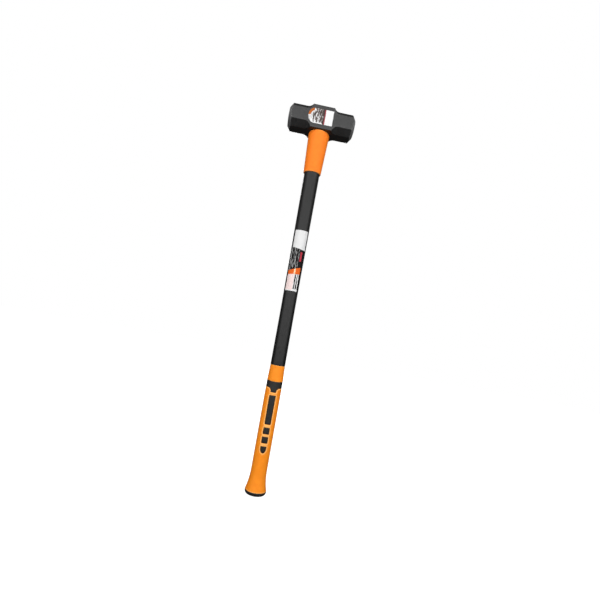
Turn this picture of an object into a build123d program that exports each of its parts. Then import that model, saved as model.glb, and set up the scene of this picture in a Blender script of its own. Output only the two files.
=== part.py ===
from build123d import *
import math
import os

# A two-handed sledgehammer with a double-faced octagonal head on a fibreglass handle.
# Units are millimetres. The origin is the centre of the flat under the butt, +Z runs up the
# handle to the head, +X runs along the head to one striking face, and the front faces -Y.

# Driving dimensions -------------------------------------------------------------------------
OVERALL_LENGTH = 914.0        # butt to the top of the head, the 36 inch class
HEAD_LENGTH = 157.0           # striking face to striking face
HEAD_HEIGHT = 53.5            # across the head's flats, along the handle
HEAD_WIDTH = 50.0             # across the head's flats, front to back
SHAFT_WIDTH = 36.0            # the jacketed shaft where it meets the head
GRIP_WIDTH = 37.8             # the grip where the hand holds it
BUTT_WIDTH = 51.0             # the flared end of the grip

# Head ---------------------------------------------------------------------------------------
HEAD_TOP = OVERALL_LENGTH
HEAD_BOTTOM = HEAD_TOP - HEAD_HEIGHT
HEAD_AXIS = HEAD_TOP - HEAD_HEIGHT / 2
ARM_CHAMFER = 12.6            # leg of the 45 degree facets that make the arms octagonal
CHEEK_LENGTH = 49.0           # the square-cornered block around the eye
RUNOUT_LENGTH = 14.0          # the facets sweep out into the cheek's corners over this length
FORGED_EDGE = 1.6             # rounding of the long edges
FACE_RADIUS = 19.5            # the ground, slightly crowned striking face
FACE_CROWN = 1.2
FACE_BEVEL_SLOPE = 0.75       # length along the head per millimetre of radius

EYE_MOUTH = (35.0, 28.0)      # oval eye at its top and bottom mouths, along X and along Y
EYE_WAIST = (32.0, 25.0)      # and at its waist, half way up
EYE_FILL_DEPTH = 1.0          # the core and the epoxy stop this far below the head's top
SEAL_HEIGHT = 4.0

# Shaft --------------------------------------------------------------------------------------
OVAL_RATIO = 0.82             # depth to width of the shaft and the grip
CORE_WIDTH = 25.0
CORE_DEPTH = 19.0
GRIP_TOP = 308.0
RING_TOP_WIDTH = 34.2         # the ring starts a little under the jacket's end
SHAFT_WIDTH_AT_GRIP = 34.8
SHAFT_WAIST_WIDTH = 33.6
SHAFT_WAIST_HEIGHT = 425.0
SHAFT_UPPER_WIDTH = 34.5
SHAFT_UPPER_HEIGHT = 590.0
SHAFT_SHOULDER_WIDTH = 35.8
SHAFT_SHOULDER_HEIGHT = 730.0
JACKET_WIDTH_IN_GRIP = 30.4   # the jacket is necked down under the soft grip
JACKET_DEPTH_IN_GRIP = 25.0

# Overstrike guard ---------------------------------------------------------------------------
GUARD_LENGTH = 95.0
GUARD_TOP = (49.4, 44.0)      # width and depth under the head
GUARD_MIDDLE = (45.2, 38.0)
GUARD_BOTTOM = (41.0, 33.2)
GUARD_SHOULDER = 3.0          # rounding of its upper edge
GUARD_LIP = 1.4               # rounding of its lower edge

# Grip ---------------------------------------------------------------------------------------
CAP_HEIGHT = 10.0
CAP_ROUNDING = 8.0
CAP_SPIGOT = 14.0             # the plug that holds the cap in the bore of the grip
BUTT_DEPTH = 44.0
FLARE_RISE = 52.0             # height over which the grip swells to the butt
FLARE_POWER = 2.2
FLARE_STATIONS = 9
BAND_BOTTOM = 255.5
BAND_TOP_AT_SIDES = 271.0
BAND_TOP_AT_MIDDLE = 270.0
TAB_BOTTOM = 245.0            # the V tabs hang from the band at the front and the back
TAB_WIDTH = 13.0
TAB_SIDE_RADIUS = 8.0
BAND_RECESS = 0.3             # the band lies this far under the orange rubber
PAD_RECESS = 0.5              # so do the pads in the grip's windows
PAD_POCKET = 2.2              # depth of the windows
PAD_CORNER = 1.0
# name, height of the bottom edge, height of the top edge, width at the bottom, width at the top
PADS = (
    ("grip_bar", 170.0, 237.4, 13.0, 14.2),
    ("grip_block_upper", 147.0, 161.3, 13.4, 13.4),
    ("grip_block_lower", 125.6, 139.8, 13.2, 13.2),
)
BULLET_BOTTOM = 102.2
BULLET_TOP = 117.2
BULLET_WIDTH = 12.6
BULLET_NOSE = 0.7             # share of its length taken by the rounded nose

# Stickers -----------------------------------------------------------------------------------
STICKER = 0.3
HEAD_LABEL_LEFT = -33.5
HEAD_LABEL_RIGHT = 24.0
HEAD_LABEL_HEIGHT = 34.4
HEAD_LABEL_NOSE = 15.0        # length of its rounded left end
SHAFT_LABEL_BOTTOM = 484.5
SHAFT_LABEL_TOP = 627.0
SHAFT_LABEL_WIDTH = 29.0

REACH = 60.0                  # longer than the tool is thick: cutters reach right through


def oval(height, width, depth):
    """A flat oval across the handle."""
    return Pos(0, 0, height) * Ellipse(width / 2, depth / 2)


def oval_bar(bottom, top, width, depth):
    """A straight oval bar along the handle."""
    return extrude(oval(bottom, width, depth), top - bottom)


def front_prism(outline):
    """A front-view outline (X across, Y up the handle) pushed right through the tool."""
    return extrude(Plane.XZ * outline, REACH, both=True)


def front_half_prism(outline, side):
    """The same, but only on the front (side -1) or the back (side +1)."""
    prism = extrude(Plane.XZ * outline, REACH)
    if side > 0:
        return mirror(prism, about=Plane.XZ)
    return prism


# Head ---------------------------------------------------------------------------------------
def facet_cutter():
    """Cuts one 45 degree facet of the +X arm, with a hollow run-out where it meets the cheek."""
    corner = (HEAD_WIDTH + HEAD_HEIGHT) / 2 / math.sqrt(2)
    facet_depth = ARM_CHAMFER / math.sqrt(2)
    facet = corner - facet_depth
    radius = (RUNOUT_LENGTH ** 2 + facet_depth ** 2) / (2 * facet_depth)
    cheek_end = CHEEK_LENGTH / 2
    half_way = RUNOUT_LENGTH / 2
    rise_at_half = radius - math.sqrt(radius ** 2 - half_way ** 2)
    arc_start = (cheek_end, corner)
    arc_end = (cheek_end + RUNOUT_LENGTH, facet)
    outline = Curve() + [
        ThreePointArc(arc_start, (cheek_end + half_way, facet + rise_at_half), arc_end),
        Polyline(arc_end, (HEAD_LENGTH, facet), (HEAD_LENGTH, REACH), (cheek_end, REACH), arc_start),
    ]
    diagonal = Plane(origin=(0, 0, 0), x_dir=(1, 0, 0), z_dir=(0, -1, 1))
    return extrude(diagonal * make_face(outline), REACH, both=True)


def turned_envelope():
    """The shape ground on the ends: a crowned face inside a conical bevel, round the X axis."""
    end = HEAD_LENGTH / 2
    outer_radius = (HEAD_WIDTH + HEAD_HEIGHT) / 2
    bevel_length = FACE_BEVEL_SLOPE * (outer_radius - FACE_RADIUS)
    crown_radius = (FACE_RADIUS ** 2 + FACE_CROWN ** 2) / (2 * FACE_CROWN)
    half_way = FACE_RADIUS / 2
    crown_at_half = crown_radius - math.sqrt(crown_radius ** 2 - half_way ** 2)
    rim = (end - FACE_CROWN, FACE_RADIUS)
    shoulder = (end - FACE_CROWN - bevel_length, outer_radius)
    outline = Curve() + [
        ThreePointArc((end, 0), (end - crown_at_half, half_way), rim),
        Polyline(rim, shoulder, (0, outer_radius), (0, 0), (end, 0)),
    ]
    half = revolve(make_face(outline), Axis.X)
    return half + mirror(half, about=Plane.YZ)


def eye():
    """The oval hole through the head, narrowest half way up so that the fill keys in."""
    lower = loft([oval(HEAD_BOTTOM, *EYE_MOUTH), oval(HEAD_AXIS, *EYE_WAIST)], ruled=True)
    upper = loft([oval(HEAD_AXIS, *EYE_WAIST), oval(HEAD_TOP, *EYE_MOUTH)], ruled=True)
    return lower + upper


def hammer_head():
    block = Box(HEAD_LENGTH, HEAD_WIDTH, HEAD_HEIGHT)
    cutter = facet_cutter()
    for across in (None, Plane.XZ):
        for along in (None, Plane.YZ):
            for upright in (None, Plane.XY):
                piece = cutter
                for plane in (across, along, upright):
                    if plane is not None:
                        piece = mirror(piece, about=plane)
                block -= piece
    long_edges = [
        edge for edge in block.edges().filter_by(Axis.X)
        if edge.length < HEAD_LENGTH / 2
    ]
    block = fillet(long_edges, FORGED_EDGE)
    block &= turned_envelope()
    return Pos(0, 0, HEAD_AXIS) * block - eye()


# Handle -------------------------------------------------------------------------------------
def handle_core():
    return oval_bar(CAP_HEIGHT + CAP_SPIGOT, HEAD_TOP - EYE_FILL_DEPTH, CORE_WIDTH, CORE_DEPTH)


def shaft_form(growth):
    """The gently waisted oval shaft from the grip to the head, grown all round."""
    stations = (
        (GRIP_TOP, SHAFT_WIDTH_AT_GRIP),
        (SHAFT_WAIST_HEIGHT, SHAFT_WAIST_WIDTH),
        (SHAFT_UPPER_HEIGHT, SHAFT_UPPER_WIDTH),
        (SHAFT_SHOULDER_HEIGHT, SHAFT_SHOULDER_WIDTH),
        (HEAD_BOTTOM, SHAFT_WIDTH),
    )
    return loft([
        oval(height, width + 2 * growth, OVAL_RATIO * width + 2 * growth)
        for height, width in stations
    ])


def jacket_body():
    """The jacket without its bore: the shaft, and the neck that runs down inside the grip."""
    return shaft_form(0) + grip_bore(CAP_HEIGHT + CAP_SPIGOT, GRIP_TOP)


def grip_bore(bottom, top):
    """A length of the oval that the jacket's neck and the cap's plug fill inside the grip."""
    return oval_bar(bottom, top, JACKET_WIDTH_IN_GRIP, JACKET_DEPTH_IN_GRIP)


def eye_fill(bottom, top):
    """The slice of the eye between two heights, around the core."""
    slab = Pos(0, 0, (bottom + top) / 2) * Box(REACH, REACH, top - bottom)
    return (eye() & slab) - handle_core()


def overstrike_guard():
    bottom = HEAD_BOTTOM - GUARD_LENGTH
    body = loft([
        oval(bottom, *GUARD_BOTTOM),
        oval(bottom + GUARD_LENGTH / 2, *GUARD_MIDDLE),
        oval(HEAD_BOTTOM, *GUARD_TOP),
    ])
    body = fillet(body.faces().sort_by(Axis.Z)[-1].edges(), GUARD_SHOULDER)
    body = fillet(body.faces().sort_by(Axis.Z)[0].edges(), GUARD_LIP)
    return body - jacket_body()


# Grip ---------------------------------------------------------------------------------------
def grip_form(inset):
    """The outer shape of the whole grip, pulled in all round by inset."""
    depth = OVAL_RATIO * GRIP_WIDTH
    stations = []
    for step in range(FLARE_STATIONS):
        rise = step / (FLARE_STATIONS - 1)
        swell = (1 - rise) ** FLARE_POWER
        stations.append(oval(
            CAP_HEIGHT + rise * FLARE_RISE,
            GRIP_WIDTH + swell * (BUTT_WIDTH - GRIP_WIDTH) - 2 * inset,
            depth + swell * (BUTT_DEPTH - depth) - 2 * inset,
        ))
    flare = loft(stations)
    straight = oval_bar(
        CAP_HEIGHT + FLARE_RISE, BAND_TOP_AT_SIDES, GRIP_WIDTH - 2 * inset, depth - 2 * inset
    )
    taper = loft([
        oval(BAND_TOP_AT_SIDES, GRIP_WIDTH - 2 * inset, depth - 2 * inset),
        oval(GRIP_TOP, RING_TOP_WIDTH - 2 * inset, OVAL_RATIO * RING_TOP_WIDTH - 2 * inset),
    ], ruled=True)
    return flare + straight + taper


def band_outline():
    """Front view of the black band: a dipped upper edge, and a V tab with hollow sides below."""
    half_tab = TAB_WIDTH / 2
    tab_shoulder = BAND_BOTTOM - TAB_SIDE_RADIUS
    arc_bulge = TAB_SIDE_RADIUS * (1 - math.sqrt(0.5))
    right_side = [
        Line((REACH, BAND_BOTTOM), (half_tab + TAB_SIDE_RADIUS, BAND_BOTTOM)),
        ThreePointArc(
            (half_tab + TAB_SIDE_RADIUS, BAND_BOTTOM),
            (half_tab + arc_bulge, BAND_BOTTOM - arc_bulge),
            (half_tab, tab_shoulder),
        ),
        Line((half_tab, tab_shoulder), (half_tab, TAB_BOTTOM)),
    ]
    left_side = [mirror(edge, about=Plane.YZ) for edge in right_side]
    half_grip = GRIP_WIDTH / 2
    top = ThreePointArc(
        (-half_grip, BAND_TOP_AT_SIDES), (0, BAND_TOP_AT_MIDDLE), (half_grip, BAND_TOP_AT_SIDES)
    )
    outline = Curve() + right_side + left_side + [
        Line((half_tab, TAB_BOTTOM), (-half_tab, TAB_BOTTOM)),
        top,
        Polyline((half_grip, BAND_TOP_AT_SIDES), (REACH, BAND_TOP_AT_SIDES), (REACH, BAND_BOTTOM)),
        Polyline((-half_grip, BAND_TOP_AT_SIDES), (-REACH, BAND_TOP_AT_SIDES), (-REACH, BAND_BOTTOM)),
    ]
    return make_face(outline)


def pad_outline(bottom, top, bottom_width, top_width):
    corners = Polygon(
        (-bottom_width / 2, bottom),
        (bottom_width / 2, bottom),
        (top_width / 2, top),
        (-top_width / 2, top),
        align=None,
    )
    return fillet(corners.vertices(), PAD_CORNER)


def bullet_outline():
    """A square-topped pad with a long rounded nose that points to the butt."""
    nose_start = BULLET_BOTTOM + BULLET_NOSE * (BULLET_TOP - BULLET_BOTTOM)
    nose = Pos(0, nose_start) * Ellipse(BULLET_WIDTH / 2, nose_start - BULLET_BOTTOM)
    square = Pos(0, (nose_start + BULLET_TOP) / 2) * Rectangle(BULLET_WIDTH, BULLET_TOP - nose_start)
    trim = Pos(0, BULLET_TOP + REACH / 2) * Rectangle(REACH, REACH)
    return nose + square - trim


def grip_parts():
    """The ring, the band, the sleeve and the pads in its windows, from one outer shape."""
    form = grip_form(0)
    bore = grip_bore(CAP_HEIGHT, GRIP_TOP)
    recessed = grip_form(BAND_RECESS)
    pad_face = grip_form(PAD_RECESS)
    pocket_floor = grip_form(PAD_POCKET)
    band_prism = front_prism(band_outline())
    above_band = front_prism(
        Pos(0, BAND_BOTTOM + REACH / 2) * Rectangle(2 * REACH, REACH)
    )
    parts = {
        "grip_ring": (form & above_band) - band_prism - bore,
        "grip_band": (recessed & band_prism) - bore,
    }
    sleeve = form - above_band - band_prism - bore
    outlines = [(name, pad_outline(*size)) for name, *size in PADS]
    outlines.append(("grip_bullet", bullet_outline()))
    for name, outline in outlines:
        for side, place in ((-1, "front"), (1, "back")):
            prism = front_half_prism(outline, side)
            sleeve -= prism - pocket_floor
            parts[f"{name}_{place}"] = (prism & pad_face) - pocket_floor
    parts["grip_sleeve"] = sleeve
    return parts


def butt_cap():
    disc = oval_bar(0, CAP_HEIGHT, BUTT_WIDTH, BUTT_DEPTH)
    disc = fillet(disc.faces().sort_by(Axis.Z)[0].edges(), CAP_ROUNDING)
    return disc + grip_bore(CAP_HEIGHT, CAP_HEIGHT + CAP_SPIGOT)


# Stickers -----------------------------------------------------------------------------------
def head_label():
    """A flat sticker on the front of the cheek, with a rounded left end."""
    nose_x = HEAD_LABEL_LEFT + HEAD_LABEL_NOSE
    straight = HEAD_LABEL_RIGHT - nose_x
    outline = Pos(nose_x, HEAD_AXIS) * Ellipse(HEAD_LABEL_NOSE, HEAD_LABEL_HEIGHT / 2)
    outline += Pos(nose_x + straight / 2, HEAD_AXIS) * Rectangle(straight, HEAD_LABEL_HEIGHT)
    outline -= Pos(HEAD_LABEL_RIGHT + REACH / 2, HEAD_AXIS) * Rectangle(REACH, REACH)
    return Pos(0, -HEAD_WIDTH / 2, 0) * extrude(Plane.XZ * outline, STICKER)


def shaft_label():
    """A sticker wrapped round the front of the shaft."""
    middle = (SHAFT_LABEL_BOTTOM + SHAFT_LABEL_TOP) / 2
    height = SHAFT_LABEL_TOP - SHAFT_LABEL_BOTTOM
    outline = Pos(0, middle) * Rectangle(SHAFT_LABEL_WIDTH, height)
    return (front_half_prism(outline, -1) & shaft_form(STICKER)) - shaft_form(0)


def build_parts():
    jacket = jacket_body()
    core = handle_core()
    parts = {
        "hammer_head": hammer_head(),
        "eye_epoxy": eye_fill(HEAD_BOTTOM + SEAL_HEIGHT, HEAD_TOP - EYE_FILL_DEPTH),
        "eye_seal_ring": eye_fill(HEAD_BOTTOM, HEAD_BOTTOM + SEAL_HEIGHT),
        "handle_core": core,
        "handle_jacket": jacket - core,
        "overstrike_guard": overstrike_guard(),
        "head_label": head_label(),
        "shaft_label": shaft_label(),
        "butt_cap": butt_cap(),
    }
    parts.update(grip_parts())
    return parts


def main():
    os.makedirs("parts", exist_ok=True)
    for name, shape in build_parts().items():
        shape.label = name
        export_step(shape, f"parts/{name}.step")


main()
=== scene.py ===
import math

import bmesh
import bpy
import numpy as np
from mathutils import Matrix, Vector, noise


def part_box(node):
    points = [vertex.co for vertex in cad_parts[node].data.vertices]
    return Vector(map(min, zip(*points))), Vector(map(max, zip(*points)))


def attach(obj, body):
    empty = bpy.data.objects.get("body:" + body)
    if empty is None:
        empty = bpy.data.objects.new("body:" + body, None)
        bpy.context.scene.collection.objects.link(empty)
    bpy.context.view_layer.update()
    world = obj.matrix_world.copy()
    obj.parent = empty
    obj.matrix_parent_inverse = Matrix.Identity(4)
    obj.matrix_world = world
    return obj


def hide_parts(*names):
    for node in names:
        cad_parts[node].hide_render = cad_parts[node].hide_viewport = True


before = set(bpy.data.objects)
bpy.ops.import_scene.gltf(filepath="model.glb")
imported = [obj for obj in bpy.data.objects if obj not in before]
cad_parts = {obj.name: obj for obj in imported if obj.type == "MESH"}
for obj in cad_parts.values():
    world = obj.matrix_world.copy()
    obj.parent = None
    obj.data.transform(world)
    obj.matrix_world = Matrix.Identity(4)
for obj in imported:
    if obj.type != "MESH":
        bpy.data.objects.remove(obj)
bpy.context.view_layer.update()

# A two-handed sledgehammer standing on its butt. Shapes are worked out in millimetres, in the
# frame's own axes (+Z up the handle, +X along the head, the front facing -Y), and become
# metres when a mesh is made.
MM = 0.001


def node_box(node):
    """A node's lowest and highest corners, in millimetres."""
    low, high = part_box(node)
    return np.array(low) / MM, np.array(high) / MM


# Sizes read from the frame ------------------------------------------------------------------
HEAD_LOW, HEAD_HIGH = node_box("hammer_head")
HEAD_END = HEAD_HIGH[0]
HEAD_HALF_WIDTH = HEAD_HIGH[1]
HEAD_HALF_HEIGHT = (HEAD_HIGH[2] - HEAD_LOW[2]) / 2
HEAD_AXIS = (HEAD_HIGH[2] + HEAD_LOW[2]) / 2
HEAD_TOP = HEAD_HIGH[2]
HEAD_BOTTOM = HEAD_LOW[2]

EPOXY_LOW, EPOXY_HIGH = node_box("eye_epoxy")
CORE_LOW, CORE_HIGH = node_box("handle_core")
GUARD_LOW, GUARD_HIGH = node_box("overstrike_guard")
BAND_LOW, BAND_HIGH = node_box("grip_band")
SLEEVE_LOW, SLEEVE_HIGH = node_box("grip_sleeve")
CAP_LOW, CAP_HIGH = node_box("butt_cap")
GRIP_TOP = node_box("grip_ring")[1][2]
JACKET_BOTTOM = node_box("handle_jacket")[0][2]
HEAD_LABEL_LOW, HEAD_LABEL_HIGH = node_box("head_label")
SHAFT_LABEL_LOW, SHAFT_LABEL_HIGH = node_box("shaft_label")

# Meshes -------------------------------------------------------------------------------------
SHARP_TURN = math.radians(38)  # faces that meet at a greater angle keep a hard edge
SAME_PLACE = 1e-7             # metres; points closer than this become one
OVAL_COLUMNS = 96

# Head ---------------------------------------------------------------------------------------
ARM_CHAMFER = 12.6            # leg of the facets that make the arms octagonal
CHEEK_HALF_LENGTH = 24.5      # half of the square-cornered block around the eye
RUNOUT_LENGTH = 14.0
FORGED_EDGE = 1.8             # rounding of the long edges
FACE_RADIUS = 19.5            # the ground striking face inside its conical bevel
FACE_CROWN = 1.2
FACE_BEVEL_SLOPE = 0.75
GROUND_EDGE = 0.5             # length worn round at the bevel's two edges
FORGING_WAVE = 0.22           # depth of the unevenness left by the dies
FORGING_CLEAR = 1.0           # that unevenness stops this far short of the striking faces
EYE_MOUTH = (35.0, 28.0)
EYE_WAIST = (32.0, 25.0)
EYE_LIP = 0.9                 # the eye's mouths are broken by a small chamfer
CUT_PAST = 2.0                # the tool that cuts the eye stands this far out of the head
RESIN_GAP = 0.05
RESIN_SINK = 0.8

# Shaft and guard ----------------------------------------------------------------------------
OVAL_RATIO = 0.82             # depth to width of the shaft and the grip
# height and width of the jacketed shaft
SHAFT_STATIONS = (
    (GRIP_TOP, 34.8),
    (425.0, 33.6),
    (590.0, 34.5),
    (730.0, 35.8),
    (HEAD_BOTTOM, 36.0),
)
JACKET_GAP = 0.02
JACKET_ROUNDS = (0.5, 0.3)    # at its lower and upper ends
NECK_WIDTH = 30.4             # the jacket is necked down inside the grip
NECK_DEPTH = 25.0
CORE_WIDTH = 25.0
CORE_DEPTH = 19.0
CORE_BREAK = 0.4              # the sawn end's edge
GUARD_MIDDLE = (45.2, 38.0)
GUARD_BOTTOM = (41.0, 33.2)
GUARD_TOP = (49.4, 44.0)
GUARD_SHOULDER = 3.0
GUARD_LIP = 1.4
GUARD_GAP = 0.06

# Grip ---------------------------------------------------------------------------------------
BAND_RECESS = 0.3
GRIP_WIDTH = BAND_HIGH[0] - BAND_LOW[0] + 2 * BAND_RECESS
RING_TOP_WIDTH = 34.2
BUTT_WIDTH = CAP_HIGH[0] - CAP_LOW[0]
BUTT_DEPTH = CAP_HIGH[1] - CAP_LOW[1]
CAP_ROUNDING = 8.0
CAP_RIM = 0.6
PLUG_LEAD = 1.0               # the chamfer on the plug's end
CAP_TOP = SLEEVE_LOW[2]
FLARE_RISE = 52.0
FLARE_POWER = 2.2
BAND_BOTTOM = SLEEVE_HIGH[2]
BAND_TOP_AT_SIDES = BAND_HIGH[2]
BAND_TOP_DIP = 1.0
BAND_EDGE = 0.4
TAB_BOTTOM = BAND_LOW[2]
TAB_HALF_WIDTH = 6.5
TAB_SIDE_RADIUS = 8.0
SIDE_PLACES = [15.3, 16.2, 17.1, 17.9, 18.5]  # columns between the tab's curve and the side
BORE_GAP = 0.03
RUBBER_EDGE = 1.2             # rounding of the orange rubber's edges
RUBBER_DROP = 0.75            # share of that rounding by which its edges fall
PALE_RIM = 2.2 * RUBBER_EDGE  # width of the painted highlight that makes the rubber paler along those edges
# width of the painted highlight along the sleeve's rounded bottom edge
PALE_BUTT = 1.6 * RUBBER_EDGE
EDGE_SHADE_WIDTH = 1.0             # painted shade darkens the orange rubber this close to its edges
UPRIGHT_WALLS = 0.45          # walls are upright this share of the way out, then lean inwards
LEANING_WALLS = 0.35

# Pads and their windows ---------------------------------------------------------------------
PAD_RECESS = 0.5
PAD_CROWN = 0.12
PAD_POCKET = 2.2
POCKET_EDGE = -1.0            # what the sleeve's edge attribute says inside a pocket, where it paints shade
PAD_GAP = 0.45                # each window is this much larger all round than its pad
PAD_CLEAR = 0.03              # between a pad's back and the floor of its pocket
PAD_ROUNDING = 1.0
PAD_CORNER = 1.0
SPINE_STEP = 1.0              # a pad's two halves meet at points this far apart on its middle line
BULLET_SHOULDER = 0.7         # share of the bullet pad's length taken by its nose
BULLET_HALF_WIDTH = 6.3 + PAD_GAP
WINDOW_MIDDLE_HALF = 7.1      # where the sleeve's columns crowd together
# half widths of the other windows at the bottom and the top
WINDOW_HALF_WIDTHS = {
    "grip_bar": (6.5 + PAD_GAP, 7.1 + PAD_GAP),
    "grip_block_upper": (6.7 + PAD_GAP, 6.7 + PAD_GAP),
    "grip_block_lower": (6.6 + PAD_GAP, 6.6 + PAD_GAP),
}
PAD_STEMS = (*WINDOW_HALF_WIDTHS, "grip_bullet")
PAD_BOXES = {stem: node_box(stem + "_front") for stem in PAD_STEMS}
WINDOW_HEIGHTS = {
    stem: (low[2] - PAD_GAP, high[2] + PAD_GAP) for stem, (low, high) in PAD_BOXES.items()
}
WINDOW_REACH = 2.5            # columns follow a window's edge this far past its ends
WINDOW_SIDE = 6.0             # and this far to its side
EDGE_STEPS = (-0.1, 0.0, 0.15, 0.35, 0.6, 0.9, 1.25)  # rows and columns this far past an edge
ROW_GAP = 0.04                # rows are at least this far apart
UNDER_TAB = 3.5               # from here up the rows bend round the band's tab
TAB_STEPS = (0.25, 0.45, 0.62, 0.76, 0.86, 0.93, 0.97, 1.0)  # shares of the way up to the band

# Stickers -----------------------------------------------------------------------------------
HEAD_LABEL_NOSE = 15.0        # length of its rounded end
HEAD_LABEL_TIP = 0.03         # that end stops this short of a point
HEAD_LABEL_CROWDING = 1.6     # columns crowd towards it by this power
HEAD_LABEL_RULE = (3.6, 6.0)  # the red rule's edges, along the head
HEAD_LABEL_SHADE = 1.2        # where the dark shade beside it starts
HEAD_INK_LEFT = 5.0           # the dark strokes start this far left of the rounded end's end
CRESCENT_LEFT = 2.5           # and the crescent stops this far left of it
CRESCENT_INSIDE = 0.648       # its inner edge, as a share of the rounded end's radii
INK_DRIFT = 0.06              # how much the head sticker's ink thickens to the right and up
SHAFT_LABEL_LIFT = 0.28       # its outside over the jacket's
SHAFT_LABEL_THICKNESS = 0.24
# each panel's top: how far it is below the sticker's top, and its slant
BLACK_PANEL = (43.0, -0.18)
ORANGE_PANEL = (90.0, 0.36)
PALE_PANEL = (103.0, 0.1)
PALE_BAR = (-2.2, 1.4)        # down the orange panel
RED_BAR = ((5.5, 10.0), (72.0, 50.0))  # its edges across, and below the sticker's top
BLACK_MARGIN = 2.4            # down the sticker's right side, under its white panel
LIGHT_STROKE_PITCH = 3.3
LIGHT_STROKES_TO = 4.5
DARK_STROKE_PITCH = 4.6
DARK_STROKES_FROM = 0.5
DARK_STROKES_END = 5.0        # above the sticker's bottom
WHITE_HEM = 2.0               # along its bottom

# View and light -----------------------------------------------------------------------------
VIEW_YAW = math.radians(3.0)
VIEW_ROLL = math.radians(10.15)
VIEW_DISTANCE = 0.826
VIEW_HEIGHT = 0.377
LENS = 21.0
SHIFT_RIGHT = 0.0285
SHIFT_UP = 0.0606
ROOM_BELOW = 0.06             # brightness of the room under, round and over the tool
ROOM_WALLS = 0.19
ROOM_CEILING = 0.07
WALLS_RISE = (0.0, 0.45)      # sines of the angles above level where each grows out of the last
CEILING_RISES = (0.55, 0.85)
FLOOR_HALF = 6.0              # metres
FLOOR_GLOW = (0.9, 1.05)      # under the tool, and far out
FLOOR_GLOW_RISES = (300.0, 2000.0)  # between these distances from the tool
FRONT_LIGHT_TURNS = (-44, 0, 44)  # three softboxes side by side make one wide curved light
FRONT_LIGHT_AWAY = 2.4
FRONT_LIGHT_SIZE = (1.8, 3.0)
FRONT_LIGHT_WATTS = 41.0
FRONT_LIGHT_HEIGHT = 1.5
BACK_LIGHT_PLACE = (0.0, 2.6, 1.6)
BACK_LIGHT_TARGET = (0.0, 0.0, 0.6)
BACK_LIGHT_SIZE = (0.8, 1.0)
BACK_LIGHT_WATTS = 60.0


# Meshes =====================================================================================
def band_faces(rows, columns, loop=False):
    """Quads between neighbouring rings of points; loop joins the last ring to the first."""
    faces = []
    for row in range(rows if loop else rows - 1):
        here = row * columns
        there = (row + 1) % rows * columns
        for column in range(columns):
            beside = (column + 1) % columns
            faces.append((here + column, here + beside, there + beside, there + column))
    return faces


def add_object(name, data):
    """Puts a new object that shows the data into the scene."""
    added = bpy.data.objects.new(name, data)
    bpy.context.scene.collection.objects.link(added)
    return added


def closed_object(name, points, faces, edge):
    """A closed mesh object. edge marks its rounded edges, from 0 to 1 for each point."""
    shape = bmesh.new()
    layer = shape.verts.layers.float.new("edge")
    for point, value in zip(np.asarray(points) * MM, edge):
        shape.verts.new(point)[layer] = float(value)
    shape.verts.ensure_lookup_table()
    for face in faces:
        shape.faces.new([shape.verts[index] for index in face])
    bmesh.ops.remove_doubles(shape, verts=shape.verts, dist=SAME_PLACE)
    bmesh.ops.recalc_face_normals(shape, faces=shape.faces)
    mesh = bpy.data.meshes.new(name)
    shape.to_mesh(mesh)
    shape.free()
    return add_object(name, mesh)


def finish_piece(piece, nodes, material):
    """Shades a piece, gives it its material, hangs it on the root body and hides the CAD nodes it
    stands for.
    """
    mesh = piece.data
    mesh.polygons.foreach_set("use_smooth", [True] * len(mesh.polygons))
    mesh.set_sharp_from_angle(angle=SHARP_TURN)
    mesh.materials.clear()
    mesh.materials.append(material)
    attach(piece, "root")
    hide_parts(*nodes)


def make_piece(name, points, faces, edge, nodes, material):
    """A closed piece that stands for CAD nodes."""
    finish_piece(closed_object(name, points, faces, edge), nodes, material)


def even_angles(count):
    return np.arange(count) / count * 2 * math.pi


def oval_rings(stations):
    """One oval ring for each (half width, half depth, height, edge), and its edge values."""
    angles = even_angles(OVAL_COLUMNS)
    rings = []
    edge = []
    for half_width, half_depth, height, wear_and_sheen in stations:
        across = half_width * np.cos(angles)
        deep = half_depth * np.sin(angles)
        rings.append(np.stack([across, deep, np.full_like(angles, height)], axis=1))
        edge.extend([wear_and_sheen] * OVAL_COLUMNS)
    return np.concatenate(rings), edge


def oval_piece(name, stations, nodes, material, tube=False):
    """An oval piece. A tube's stations go up its outside and down its bore; a solid's first and
    last stations close on its axis."""
    points, edge = oval_rings(stations)
    faces = band_faces(len(stations), OVAL_COLUMNS, loop=tube)
    make_piece(name, points, faces, edge, nodes, material)


def quarter_round(radius, steps=6):
    """(inset, distance below the edge) from the tangent point on the side to the end face."""
    turns = [step / steps * math.pi / 2 for step in range(steps + 1)]
    return [(radius * (1 - math.cos(turn)), radius * (1 - math.sin(turn))) for turn in turns]


def rounding_weight(share):
    """Edge value part of the way through a rounding: full in its middle, none at its ends."""
    return 1 - abs(2 * share - 1) ** 2


def rounded_wall(bottom, top, half_sizes, lower_round, upper_round, rows):
    """Outer stations of a wall with rounded ends. half_sizes gives the half sizes at a height."""
    stations = []
    for inset, drop in reversed(quarter_round(lower_round)):
        half_width, half_depth = half_sizes(bottom + drop)
        wear_and_sheen = rounding_weight(inset / lower_round)
        stations.append((half_width - inset, half_depth - inset, bottom + drop, wear_and_sheen))
    for height in np.linspace(bottom + lower_round, top - upper_round, rows + 2)[1:-1]:
        stations.append((*half_sizes(height), height, 0.0))
    for inset, drop in quarter_round(upper_round):
        half_width, half_depth = half_sizes(top - drop)
        wear_and_sheen = rounding_weight(inset / upper_round)
        stations.append((half_width - inset, half_depth - inset, top - drop, wear_and_sheen))
    return stations


# Materials ==================================================================================
def grey(value):
    return (value, value, value, 1.0)


def colour(red, green, blue):
    return (red, green, blue, 1.0)


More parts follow.
